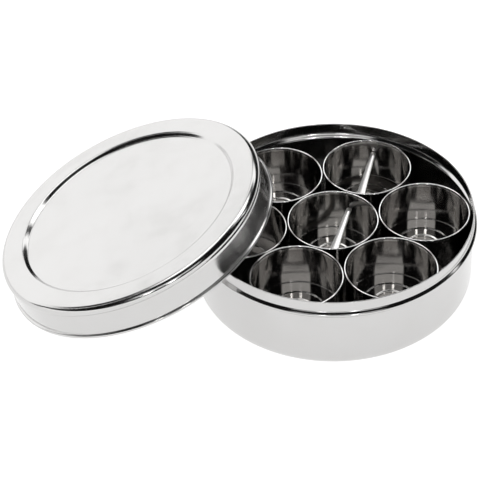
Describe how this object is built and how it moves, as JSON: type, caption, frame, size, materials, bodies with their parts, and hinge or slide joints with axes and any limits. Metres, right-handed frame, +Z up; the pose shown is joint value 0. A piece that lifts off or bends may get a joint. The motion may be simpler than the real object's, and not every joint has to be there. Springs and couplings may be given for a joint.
{
  "type": "spice box",
  "caption": "Round stainless steel spice box with a ring of loose cups around a centre cup, small spoons and a slip-on lid leaning on its rim.",
  "frame": {"origin": "middle of the whole set's footprint, on the table that it stands on", "axes": "+Z up; +X from the leaning lid towards the box; +Y away from the front; the box's own axis is the vertical through x 0.069, y -0.005"},
  "size_m": [0.3428, 0.2146, 0.0932],
  "materials": {
    "satin_steel": "stainless steel, spun and buffed to a soft satin, brighter along its beads",
    "polished_steel": "stainless steel, mirror polished inside and out",
    "spoon_steel": "stamped stainless steel, polished, with fine marks along its length"
  },
  "bodies": {
    "box": {"box": "satin_steel"},
    "lid": {"lid": "satin_steel"},
    "cup_centre": {"cup_centre": "polished_steel"},
    "cup_right": {"cup_right": "polished_steel"},
    "cup_rear_right": {"cup_rear_right": "polished_steel"},
    "cup_rear_left": {"cup_rear_left": "polished_steel"},
    "cup_left": {"cup_left": "polished_steel"},
    "cup_front_left": {"cup_front_left": "polished_steel"},
    "cup_front_right": {"cup_front_right": "polished_steel"},
    "spoon_centre": {"spoon_centre": "spoon_steel"},
    "spoon_rear_right": {"spoon_rear_right": "spoon_steel"}
  },
  "joints": [
    {"name": "lid_lift", "type": "slide", "parent": "box", "child": "lid", "axis": [0, 0, 1], "range_m": [0, 0.12]},
    {"name": "cup_centre_lift", "type": "slide", "parent": "box", "child": "cup_centre", "axis": [0, 0, 1], "range_m": [0, 0.065]},
    {"name": "cup_right_lift", "type": "slide", "parent": "box", "child": "cup_right", "axis": [0, 0, 1], "range_m": [0, 0.065]},
    {"name": "cup_rear_right_lift", "type": "slide", "parent": "box", "child": "cup_rear_right", "axis": [0, 0, 1], "range_m": [0, 0.065]},
    {"name": "cup_rear_left_lift", "type": "slide", "parent": "box", "child": "cup_rear_left", "axis": [0, 0, 1], "range_m": [0, 0.01]},
    {"name": "cup_left_lift", "type": "slide", "parent": "box", "child": "cup_left", "axis": [0, 0, 1], "range_m": [0, 0.017]},
    {"name": "cup_front_left_lift", "type": "slide", "parent": "box", "child": "cup_front_left", "axis": [0, 0, 1], "range_m": [0, 0.014]},
    {"name": "cup_front_right_lift", "type": "slide", "parent": "box", "child": "cup_front_right", "axis": [0, 0, 1], "range_m": [0, 0.065]},
    {"name": "spoon_centre_lift", "type": "slide", "parent": "cup_centre", "child": "spoon_centre", "axis": [0, 0, 1], "range_m": [0, 0.055]},
    {"name": "spoon_rear_right_lift", "type": "slide", "parent": "cup_rear_right", "child": "spoon_rear_right", "axis": [0, 0, 1], "range_m": [0, 0.055]}
  ]
}
